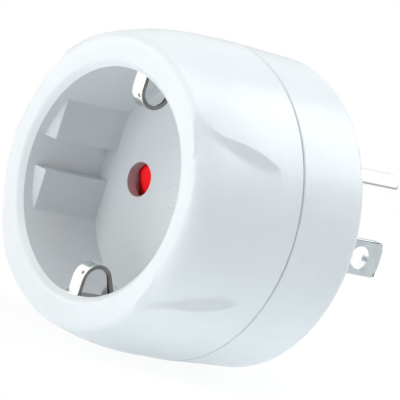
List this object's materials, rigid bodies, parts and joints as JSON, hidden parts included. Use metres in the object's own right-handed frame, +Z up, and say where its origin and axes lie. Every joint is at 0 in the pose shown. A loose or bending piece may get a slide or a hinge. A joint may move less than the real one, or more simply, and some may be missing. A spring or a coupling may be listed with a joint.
{
  "type": "travel adapter",
  "caption": "Earthed travel adapter: a recessed round-pin socket with side earth clips and a rotary shutter, on a plug with two flat blades and a round earth pin.",
  "frame": {"origin": "centre of the face that the prongs stand on", "axes": "+Y along the prongs, away from the socket; +Z up, towards the round earth prong; +X to the right of someone who faces the socket"},
  "size_m": [0.0556, 0.0656, 0.0556],
  "materials": {
    "front_shell": "satin white moulding",
    "rear_shell": "satin white moulding",
    "shutter_red": "moulded red",
    "steel": "drawn",
    "spring_steel": "spring wire",
    "inner_plastic": "moulded",
    "screw_steel": "zinc plated",
    "clip_nickel": "bright nickel plate",
    "brass": "stamped",
    "prong_nickel": "nickel plate",
    "carrier_plastic": "moulded"
  },
  "bodies": {
    "housing": {"front_housing": "front_shell", "rear_housing": "rear_shell", "shutter_axle": "steel", "shutter_spring": "spring_steel", "shutter_cover": "inner_plastic", "cover_screws": "screw_steel", "earth_strap": "brass", "ground_prong": "prong_nickel", "line_blade": "prong_nickel", "neutral_blade": "prong_nickel", "line_receptacle": "brass", "neutral_receptacle": "brass", "line_contact_spring": "spring_steel", "neutral_contact_spring": "spring_steel", "line_link": "brass", "neutral_link": "brass", "contact_rivets": "brass", "contact_carrier": "carrier_plastic", "prong_plate": "carrier_plastic", "housing_screws": "screw_steel"},
    "shutter": {"shutter": "shutter_red"},
    "top_clip": {"earth_clip_top": "clip_nickel"},
    "bottom_clip": {"earth_clip_bottom": "clip_nickel"}
  },
  "joints": [
    {"name": "shutter_turn", "type": "hinge", "parent": "housing", "child": "shutter", "pos_m": [0, -0.025, 0], "axis": [0, 1, 0], "range_deg": [0, 40], "stiffness_Nm_per_rad": 0.004, "springref_deg": -20.05, "deforming": ["shutter_spring"]},
    {"name": "top_clip_flex", "type": "hinge", "parent": "housing", "child": "top_clip", "pos_m": [0, -0.01975, 0.0218], "axis": [-1, 0, 0], "range_deg": [0, 4], "stiffness_Nm_per_rad": 0.6},
    {"name": "bottom_clip_flex", "type": "hinge", "parent": "housing", "child": "bottom_clip", "pos_m": [0, -0.01975, -0.0218], "axis": [1, 0, 0], "range_deg": [0, 4], "stiffness_Nm_per_rad": 0.6}
  ]
}
